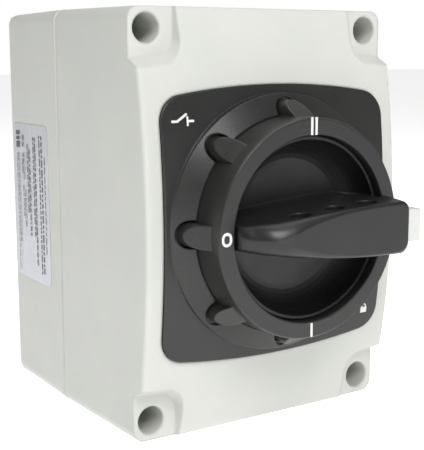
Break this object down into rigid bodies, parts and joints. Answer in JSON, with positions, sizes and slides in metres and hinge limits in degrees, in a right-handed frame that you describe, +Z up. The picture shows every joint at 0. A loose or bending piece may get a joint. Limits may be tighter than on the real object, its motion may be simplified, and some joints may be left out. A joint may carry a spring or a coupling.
{
  "type": "rotary isolator switch",
  "caption": "Wall-mounted changeover rotary isolator: moulded grey box with a curved front, black front plate, legend ring and padlockable grip handle.",
  "frame": {"origin": "centre of the flat back face, in the wall plane, on the handle's turning axis", "axes": "+Z up, +Y into the wall (the front faces -Y), +X to the right seen from the front"},
  "size_m": [0.1107, 0.1476, 0.1518],
  "materials": {
    "housing_grey": "fine-textured moulded light grey polycarbonate",
    "black_plastic": "satin black moulding",
    "handle_black": "satin black moulding",
    "slide_grey": "light grey moulding",
    "white_print": "white filled lettering ink",
    "seal_rubber": "soft black elastomer",
    "zinc_steel": "bright zinc-plated steel",
    "spring_steel": "polished spring steel",
    "brass_parts": "machined brass",
    "copper_contact": "silver-faced copper",
    "switch_grey": "glass-filled nylon",
    "deck_dark": "black thermoset",
    "rotor_black": "black nylon",
    "label_foil": "silver polyester foil with grey print"
  },
  "bodies": {
    "box": {"base_housing": "housing_grey", "cover_housing": "housing_grey", "cover_gasket": "seal_rubber", "cover_screws": "zinc_steel", "screw_seals": "seal_rubber", "screw_inserts": "brass_parts", "escutcheon": "black_plastic", "escutcheon_screws": "zinc_steel", "plate_marks": "white_print", "legend_ring": "black_plastic", "legend_marks": "white_print", "shaft_seal": "seal_rubber", "din_rail": "zinc_steel", "rail_screws": "zinc_steel", "mounting_foot": "switch_grey", "detent_housing": "switch_grey", "detent_balls": "spring_steel", "detent_springs": "spring_steel", "terminal_clamps": "brass_parts", "terminal_screws": "zinc_steel", "end_plate": "switch_grey", "tie_bolts": "zinc_steel", "earth_bar": "brass_parts", "earth_screws": "zinc_steel", "rating_label": "label_foil", "contact_deck_1": "deck_dark", "fixed_contacts_1": "copper_contact", "contact_deck_2": "deck_dark", "fixed_contacts_2": "copper_contact", "contact_deck_3": "deck_dark", "fixed_contacts_3": "copper_contact", "contact_deck_4": "deck_dark", "fixed_contacts_4": "copper_contact"},
    "handle": {"handle": "handle_black", "slide_stop_pin": "zinc_steel", "retaining_washer": "zinc_steel", "circlip": "spring_steel", "drive_shaft": "zinc_steel", "detent_disc": "rotor_black", "rotor_1": "rotor_black", "moving_contact_1": "copper_contact", "rotor_2": "rotor_black", "moving_contact_2": "copper_contact", "rotor_3": "rotor_black", "moving_contact_3": "copper_contact", "rotor_4": "rotor_black", "moving_contact_4": "copper_contact"},
    "slide": {"lock_slide": "slide_grey"}
  },
  "joints": [
    {"name": "handle_turn", "type": "hinge", "parent": "box", "child": "handle", "pos_m": [0, -0.12, 0], "axis": [0, -1, 0], "range_deg": [-90, 90]},
    {"name": "slide_pull", "type": "slide", "parent": "handle", "child": "slide", "axis": [1, 0, 0], "range_m": [-0.005, 0]}
  ]
}
